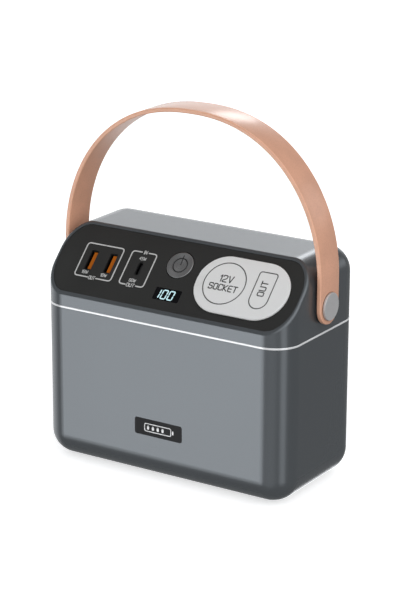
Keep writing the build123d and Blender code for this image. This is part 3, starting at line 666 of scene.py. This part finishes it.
def arch_station(turn):
    """Centre and outward normal of the strap's superellipse at angle turn, in X and Z."""
    side = 1 if cos(turn) > 0 else -1
    across = abs(cos(turn)) ** (2 / ARCH_POWER_X)
    up = sin(turn) ** (2 / ARCH_POWER_Z)
    normal = Vector((
        side * ARCH_POWER_X * across ** (ARCH_POWER_X - 1) / ARCH_HALF_SPAN,
        ARCH_POWER_Z * up ** (ARCH_POWER_Z - 1) / ARCH_RISE,
    )).normalized()
    return Vector((side * across * ARCH_HALF_SPAN, ARCH_FOOT_Z + up * ARCH_RISE)), normal


def leg_stations():
    """Stations up the right leg, from the round end to the arch: centre, normal, half width."""
    half = STRAP_WIDTH / 2
    stations = []
    for step in range(1, LEG_ROUND_STEPS + 1):
        turn = pi / 2 * step / LEG_ROUND_STEPS
        stations.append((PIVOT_Z - half * cos(turn), half * sin(turn)))
    straight = ARCH_FOOT_Z - PIVOT_Z
    stations += [(PIVOT_Z + straight * step / LEG_STEPS, half) for step in range(1, LEG_STEPS + 1)]
    return [(Vector((ARCH_HALF_SPAN, z)), Vector((1, 0)), reach) for z, reach in stations]


def strap_stations():
    """Stations from the right end over the arch to the left end."""
    right = leg_stations()
    arch = []
    for step in range(1, ARCH_STEPS):
        centre, normal = arch_station(pi * step / ARCH_STEPS)
        arch.append((centre, normal, STRAP_WIDTH / 2))
    left = [(Vector((-c.x, c.y)), Vector((-n.x, n.y)), reach) for c, n, reach in reversed(right)]
    return right + arch + left


def strap_section(half_width):
    """Ring of (across, out) points: flat faces with round edges."""
    edge = min(STRAP_EDGE_R, half_width * 0.9)
    half = STRAP_THICK / 2
    ring = arc((half_width - edge, half - edge), edge, 0, 90, EDGE_STEPS)
    ring += arc((-half_width + edge, half - edge), edge, 90, 180, EDGE_STEPS)
    ring += arc((-half_width + edge, -half + edge), edge, 180, 270, EDGE_STEPS)
    return ring + arc((half_width - edge, -half + edge), edge, 270, 360, EDGE_STEPS)


def build_strap():
    """Leather strap in three tones of one leather: the outer face; the edges, lighter partly for their edge paint
    and partly as a painted highlight; the inner face, lighter as painted light.
    """
    rings = strap_stations()
    verts, faces, zones = [], [], []
    for centre, normal, half_width in rings:
        for across, out in strap_section(half_width):
            x, z = centre + normal * out
            verts.append(Vector((x * MM, across * MM, z * MM)))
    count = 4 * (EDGE_STEPS + 1)
    outer_face, inner_face = EDGE_STEPS, 3 * EDGE_STEPS + 2
    for ring in range(len(rings) - 1):
        for step in range(count):
            a = ring * count + step
            b = ring * count + (step + 1) % count
            faces.append((a, b, b + count, a + count))
            zones.append(0 if step == outer_face else 2 if step == inner_face else 1)
    faces.append(tuple(range(count)))
    faces.append(tuple(range((len(rings) - 1) * count, len(rings) * count))[::-1])
    zones += [1, 1]
    mesh = bpy.data.meshes.new("strap")
    mesh.from_pydata([tuple(v) for v in verts], [], faces)
    for material in (MATERIALS["strap_leather"], STRAP_EDGE, STRAP_INNER_PAINTED_LIGHT):
        mesh.materials.append(material)
    mesh.polygons.foreach_set("material_index", zones)
    strap = finish_object("strap", mesh, None)
    pivot = Vector((0, 0, PIVOT_Z * MM))
    boolean_cut(strap, [cylinder_cutter(pivot, Vector((1, 0, 0)), SHOULDER_R * MM, 0.2)])
    sharpen(strap, 50)
    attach(strap, "handle")
    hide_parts("handle_strap")


def cylinder_cutter(centre, axis, radius, length, sides=48):
    """Closed cylinder along an axis, for cutting."""
    turn = axis.to_track_quat("Z", "Y")
    verts, faces = [], []
    for end in (-0.5, 0.5):
        for step in range(sides):
            angle = 2 * pi * step / sides
            point = Vector((radius * cos(angle), radius * sin(angle), end * length))
            verts.append(centre + turn @ point)
    for step in range(sides):
        after = (step + 1) % sides
        faces.append((step, after, sides + after, sides + step))
    faces += [tuple(range(sides))[::-1], tuple(range(sides, 2 * sides))]
    return make_object("cutter", verts, faces, None)


# ---- Silicone cover ----

def closed_levels(outline_at, levels):
    """Closed solid on the slanted face from outlines at several heights: levels are (inset, height)."""
    verts, faces = [], []
    count = len(outline_at(0))
    for inset, height in levels:
        verts += [face_point(u, v, height) for u, v in outline_at(inset)]
    for level in range(len(levels) - 1):
        for step in range(count):
            a = level * count + step
            b = level * count + (step + 1) % count
            faces.append((a, b, b + count, a + count))
    faces.append(tuple(range(count))[::-1])
    last = (len(levels) - 1) * count
    faces.append(tuple(range(last, last + count)))
    return verts, faces


def cover_outline(inset):
    return stadium(COVER_LEFT + inset, COVER_RIGHT - inset, COVER_V, COVER_R - inset)


def rolled_edge(top, radius, inset=0.0, steps=6):
    """Levels that round a solid's upper edge over."""
    turns = [pi / 2 * step / steps for step in range(steps + 1)]
    return [(inset + radius * (1 - cos(turn)), top - radius + radius * sin(turn)) for turn in turns]


def plug(name, outline_at):
    """Short plug under the cover, with a softened rim."""
    low = PANEL_P - PLUG_DEPTH
    levels = [(PLUG_EDGE, low), (0.0, low + PLUG_EDGE), (0.0, PLUG_TOP)]
    verts, faces = closed_levels(outline_at, levels)
    piece = make_object(name, verts, faces, "cover")
    sharpen(piece, 50)
    paint(piece, MATERIALS["cover_silicone"])


def scoop_cutter():
    """Shallow trough across the cover's left end, where a finger lifts it."""
    middle_v = COVER_V + 0.2
    verts, faces = [], []
    rows, columns = SCOOP_ROWS, SCOOP_COLUMNS
    for row in range(rows + 1):
        u = COVER_LEFT - SCOOP_OVERHANG + SCOOP_LENGTH * row / rows
        fall = (1 - row / rows) ** SCOOP_FALL
        for column in range(columns + 1):
            share = 2 * column / columns - 1
            v = middle_v + SCOOP_HALF * share * (1 - SCOOP_TAPER * row / rows)
            depth = SCOOP_DEPTH * fall * max(0.0, 1 - share ** 4)
            verts.append(face_point(u, v, COVER_TOP + CUTTER_RISE - depth))
    base = len(verts)
    for index in range(base):
        verts.append(verts[index] + FACE_P * CUTTER_HEIGHT * MM)
    width = columns + 1
    for row in range(rows):
        for column in range(columns):
            a = row * width + column
            faces.append((a, a + 1, a + width + 1, a + width))
            faces.append((base + a, base + a + width, base + a + width + 1, base + a + 1))
    rim = list(range(columns))
    rim += [row * width + columns for row in range(rows)]
    rim += [rows * width + columns - column for column in range(columns)]
    rim += [(rows - row) * width for row in range(rows)]
    for a, b in zip(rim, rim[1:] + rim[:1]):
        faces.append((b, a, base + a, base + b))
    scoop = make_object("scoop", verts, faces, None)
    paint(scoop, MATERIALS["cover_silicone"])
    return scoop


def build_cover():
    """One silicone skin over both ports, with engraved outlines and a finger scoop, and edge loops across its
    fold.
    """
    low = PANEL_P + COVER_SOLE_GAP
    levels = [(COVER_SOLE_EDGE, low), (0.0, low + COVER_SOLE_EDGE)] + rolled_edge(COVER_TOP, COVER_EDGE_R)
    verts, faces = closed_levels(cover_outline, levels)
    cover = make_object("silicone_cover", verts, faces, None)
    paint(cover, MATERIALS["cover_silicone"])
    groove_p = COVER_TOP + 0.1
    circle = [(u, v, groove_p) for u, v in arc(ROUND_MARK, ROUND_MARK_R, 0, 360, 96)[:-1]]
    port = [(u, v, groove_p) for u, v in jump_outline(0)]
    boolean_cut(cover, [
        tube_mesh("groove_round", circle, GROOVE_R, True, GROOVE_GREY),
        tube_mesh("groove_port", port, GROOVE_R, True, GROOVE_GREY),
        scoop_cutter(),
    ])
    cut_across(cover, HINGE_U + 1.0, 8)
    sharpen(cover, 40)
    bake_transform(cover)
    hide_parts("port_cover", "cover_anchor")
    plug("round_plug", lambda inset: arc(SOCKET_PLACE, SOCKET_PLUG_R - inset, 0, 360, 64)[:-1])
    plug("port_plug", lambda inset: jump_outline(-PORT_PLUG_INSET - inset))


def cut_across(piece, start_u, count):
    """Adds edge loops across the fold."""
    work = bmesh.new()
    work.from_mesh(piece.data)
    for step in range(count + 1):
        where = face_point(start_u - 2.0 * step / count, 0)
        everything = work.verts[:] + work.edges[:] + work.faces[:]
        bmesh.ops.bisect_plane(work, geom=everything, dist=1e-7, plane_co=where, plane_no=FACE_U)
    work.to_mesh(piece.data)
    work.free()


def build_cover_marks():
    """Legends on the cover: the round port's two lines, and the other port's word on its side."""
    marks = lettering("12V", (36.2, 30.5), 4.4, 0.74)
    marks += lettering("SOCKET", (36.2, 24.4), 3.9, 0.72)
    marks += lettering("OUT", (62.6, 28.6), 4.1, 0.74, pi / 2)
    piece = raise_flat("cover_marks", marks, face_point, PRINT_THICK, COVER_TOP, "cover")
    paint(piece, PRINT_GREY)


# ---- Marks on the black panel ----

def open_frame(left, right, low, high, low_gap=None, high_gap=None):
    """Rounded frame line in two halves, left and right; a gap is where its edge is open, from and to."""
    middle = (left + right) / 2
    low_from, low_to = low_gap or (middle, middle)
    high_from, high_to = high_gap or (middle, middle)
    right_line = [(high_to, high), (right, high), (right, low), (low_to, low)]
    left_line = [(low_from, low), (left, low), (left, high), (high_from, high)]
    halves = (right_line, left_line)
    return [ribbon(rounded(line, FRAME_CORNER, 8, closed=False), FRAME_LINE) for line in halves]


def build_panel_marks():
    """White frames round the USB ports, with their directions and powers."""
    usb_a_frame = open_frame(-71.0, -43.4, 14.8, 38.4, low_gap=(-60.5, -54.3))
    usb_c_frame = open_frame(-37.1, -18.9, 15.0, 38.6, low_gap=(-32.1, -24.3), high_gap=(-30.3, -25.1))
    marks = []
    for lines, words in ((usb_a_frame, USB_A_WORDS), (usb_c_frame, USB_C_WORDS)):
        marks += lines
        for text, centre, height, stroke, narrow in words:
            marks += lettering(text, centre, height, stroke, narrow=narrow)
    piece = raise_flat("panel_marks", marks, face_point, PRINT_THICK, PANEL_P, "case")
    paint(piece, PRINT_WHITE)


SEGMENTS = {"0": "abcdef", "1": "bc"}


def segment_digit(digit, left, low, width, height):
    """Bars of a seven-segment digit that leans a little to the right."""
    middle = height / 2
    bars = {
        "a": [(0, height), (width, height)],
        "b": [(width, height), (width, middle)],
        "c": [(width, middle), (width, 0)],
        "d": [(width, 0), (0, 0)],
        "e": [(0, 0), (0, middle)],
        "f": [(0, middle), (0, height)],
    }
    shapes = []
    for letter in SEGMENTS[digit]:
        (x1, y1), (x2, y2) = bars[letter]
        start, end = Vector((x1, y1)), Vector((x2, y2))
        trim = (end - start).normalized() * DIGIT_LINE * DIGIT_TRIM
        points = [start + trim, end - trim]
        placed = [(left + x + DIGIT_LEAN * y, low + y) for x, y in points]
        shapes.append(ribbon(placed, DIGIT_LINE))
    return shapes


def build_digits():
    """Three lit digits behind the smoked window."""
    shapes = []
    for digit, left, width in DISPLAY_DIGITS:
        shapes += segment_digit(digit, left, DIGIT_LOW, width, DIGIT_HEIGHT)
    low = PANEL_P - DIGIT_SINK
    piece = raise_flat("digits", shapes, face_point, PRINT_THICK, low, "case")
    paint(piece, DIGIT_GLOW)


def build_badge_marks():
    """Plain pictogram on the badge: a battery outline with four bars."""
    body = rounded(BATTERY_BODY, BATTERY_CORNER)
    shapes = [ribbon(body, BATTERY_LINE, True), ribbon(BATTERY_TIP, BATTERY_TIP_LINE)]
    for x in BATTERY_BARS:
        shapes.append(ribbon([(x, BATTERY_BAR_LOW), (x, BATTERY_BAR_HIGH)], BATTERY_BAR_LINE))
    piece = raise_flat("badge_marks", shapes, front_point, PRINT_THICK, BADGE_PROUD, "case")
    paint(piece, BADGE_SILVER)


# ---- Power button ----

def dish_height(radius):
    """Height of the button's dished top at a distance from its centre."""
    return BUTTON_TOP - BUTTON_DISH_DEPTH + BUTTON_DISH_R - sqrt(BUTTON_DISH_R ** 2 - radius ** 2)


def build_button():
    """Dished metal cap with an engraved power sign."""
    turns = BUTTON_TURNS
    dish_edge = sqrt(BUTTON_DISH_R ** 2 - (BUTTON_DISH_R - BUTTON_DISH_DEPTH) ** 2)
    radii = [dish_edge * step / BUTTON_ROUNDS for step in range(1, BUTTON_ROUNDS + 1)]
    profile = [(radius, dish_height(radius)) for radius in radii]
    for step in range(1, BUTTON_EDGE_STEPS + 1):
        turn = pi / 2 * step / BUTTON_EDGE_STEPS
        radius = BUTTON_R - BUTTON_EDGE_R + BUTTON_EDGE_R * sin(turn)
        profile.append((radius, BUTTON_TOP - BUTTON_EDGE_R + BUTTON_EDGE_R * cos(turn)))
    profile.append((BUTTON_R, BUTTON_BOTTOM))
    verts = [face_point(*BUTTON_PLACE, dish_height(0))]
    for radius, height in profile:
        for u, v in arc(BUTTON_PLACE, radius, 0, 360, turns)[:-1]:
            verts.append(face_point(u, v, height))
    faces = [(0, 1 + step, 1 + (step + 1) % turns) for step in range(turns)]
    for ring in range(len(profile) - 1):
        low, high = 1 + ring * turns, 1 + (ring + 1) * turns
        for step in range(turns):
            after = (step + 1) % turns
            faces.append((low + step, high + step, high + after, low + after))
    last = 1 + (len(profile) - 1) * turns
    faces.append(tuple(range(last, last + turns))[::-1])
    cap = make_object("power_cap", verts, faces, None)
    paint(cap, MATERIALS["button_metal"])
    u, v = BUTTON_PLACE
    ring_height = dish_height(SIGN_R) + CUTTER_RISE
    ring = [(a, b, ring_height) for a, b in arc(BUTTON_PLACE, SIGN_R, 0, 360, 64)[:-1]]
    bar = [(u, v + rise, dish_height(rise) + CUTTER_RISE) for rise in SIGN_BAR]
    boolean_cut(cap, [
        tube_mesh("sign_ring", ring, SIGN_LINE / 2, True, SIGN_DARK),
        tube_mesh("sign_bar", bar, SIGN_LINE / 2, False, SIGN_DARK),
    ])
    sharpen(cap, 30)
    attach(cap, "button")
    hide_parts("power_button")


# ---- Camera, surroundings and floor ----

CAMERA_PLACE = (0.72087, -1.11308, 0.53053)
CAMERA_AZIMUTH, CAMERA_ELEVATION, CAMERA_ROLL = 32.871, 17.686, 0.145
CAMERA_LENS, CAMERA_SENSOR = 133.3, 36


def look_direction(azimuth, elevation):
    """Unit vector from the object outwards: azimuth 0 is the front, positive to the right."""
    a, e = radians(azimuth), radians(elevation)
    return Vector((sin(a) * cos(e), -cos(a) * cos(e), sin(e)))


def add_camera():
    data = bpy.data.cameras.new("camera")
    data.lens = CAMERA_LENS
    data.sensor_width = CAMERA_SENSOR
    camera = bpy.data.objects.new("camera", data)
    camera.location = CAMERA_PLACE
    out = look_direction(CAMERA_AZIMUTH, CAMERA_ELEVATION)
    turn = out.to_track_quat("Z", "Y").to_matrix().to_4x4()
    turn = turn @ Matrix.Rotation(radians(CAMERA_ROLL), 4, "Z")
    camera.rotation_euler = turn.to_euler()
    bpy.context.scene.collection.objects.link(camera)
    bpy.context.scene.camera = camera


def softbox(nodes, links, direction, inner, outer, strength):
    """Round soft light in the surroundings: full inside the inner angle, none outside the outer one."""
    place = nodes.new("ShaderNodeTexCoord")
    product = nodes.new("ShaderNodeVectorMath")
    product.operation = "DOT_PRODUCT"
    links.new(place.outputs["Generated"], product.inputs[0])
    product.inputs[1].default_value = direction
    remap = nodes.new("ShaderNodeMapRange")
    remap.interpolation_type = "SMOOTHSTEP"
    remap.inputs["From Min"].default_value = cos(radians(outer))
    remap.inputs["From Max"].default_value = cos(radians(inner))
    remap.inputs["To Min"].default_value = 0
    remap.inputs["To Max"].default_value = strength
    links.new(product.outputs["Value"], remap.inputs["Value"])
    return remap.outputs["Result"]


# Each light: azimuth, elevation, angle of its full part, angle where it ends, strength.
STUDIO_LIGHTS = [
    (-31.5, -18, 6, 18, 2.55),
    (-147, 18, 12, 36, 1.06),
    (-157, 27, 3, 8, 4.5),
    (-158, -30, 5, 14, 2.0),
    (12, -20, 8, 32, 0.34),
    (67, -18, 6, 16, 0.9),
    (58, 36, 12, 58, 1.3),
    (147, 14, 4, 13, 0.9),
    (-100, -5, 10, 45, 0.9),
]
AMBIENT = 0.28
STUDIO_TINT = (0.97, 0.985, 1, 1)
FLOOR_HALF = 6.0
FLOOR_COLOUR = (0.9, 0.9, 0.9)
FLOOR_GLOW = 0.62


def add_surroundings():
    """Studio surroundings: dim grey, with soft lights where the satin faces mirror them."""
    world = bpy.data.worlds.new("studio")
    world.use_nodes = True
    bpy.context.scene.world = world
    nodes, links = world.node_tree.nodes, world.node_tree.links
    total = None
    for azimuth, elevation, inner, outer, strength in STUDIO_LIGHTS:
        value = softbox(nodes, links, look_direction(azimuth, elevation), inner, outer, strength)
        add = nodes.new("ShaderNodeMath")
        add.inputs[0].default_value = AMBIENT
        if total:
            links.new(total, add.inputs[0])
        links.new(value, add.inputs[1])
        total = add.outputs["Value"]
    background = nodes["Background"]
    links.new(total, background.inputs["Strength"])
    background.inputs["Color"].default_value = STUDIO_TINT


def add_floor():
    """Pale floor. Only the camera sees it, so its bounce doesn't wash out the case's dark rounds."""
    half = FLOOR_HALF
    corners = [(-half, -half, 0), (half, -half, 0), (half, half, 0), (-half, half, 0)]
    mesh = bpy.data.meshes.new("floor")
    mesh.from_pydata(corners, [], [(0, 1, 2, 3)])
    floor = bpy.data.objects.new("floor", mesh)
    bpy.context.scene.collection.objects.link(floor)
    material, _, _, shader = new_material("floor_pale")
    shader.inputs["Base Color"].default_value = (*FLOOR_COLOUR, 1)
    shader.inputs["Roughness"].default_value = 0.9
    shader.inputs["Specular IOR Level"].default_value = 0
    shader.inputs["Emission Color"].default_value = (1, 1, 1, 1)
    shader.inputs["Emission Strength"].default_value = FLOOR_GLOW
    floor.data.materials.append(material)
    floor.visible_glossy = False
    floor.visible_diffuse = False
    floor.visible_transmission = False
    floor.visible_shadow = False


bpy.context.scene.view_settings.view_transform = "Standard"
add_camera()
add_surroundings()
add_floor()
paint_cad_nodes()
build_strap()
build_cover()
build_cover_marks()
build_panel_marks()
build_digits()
build_badge_marks()
build_button()
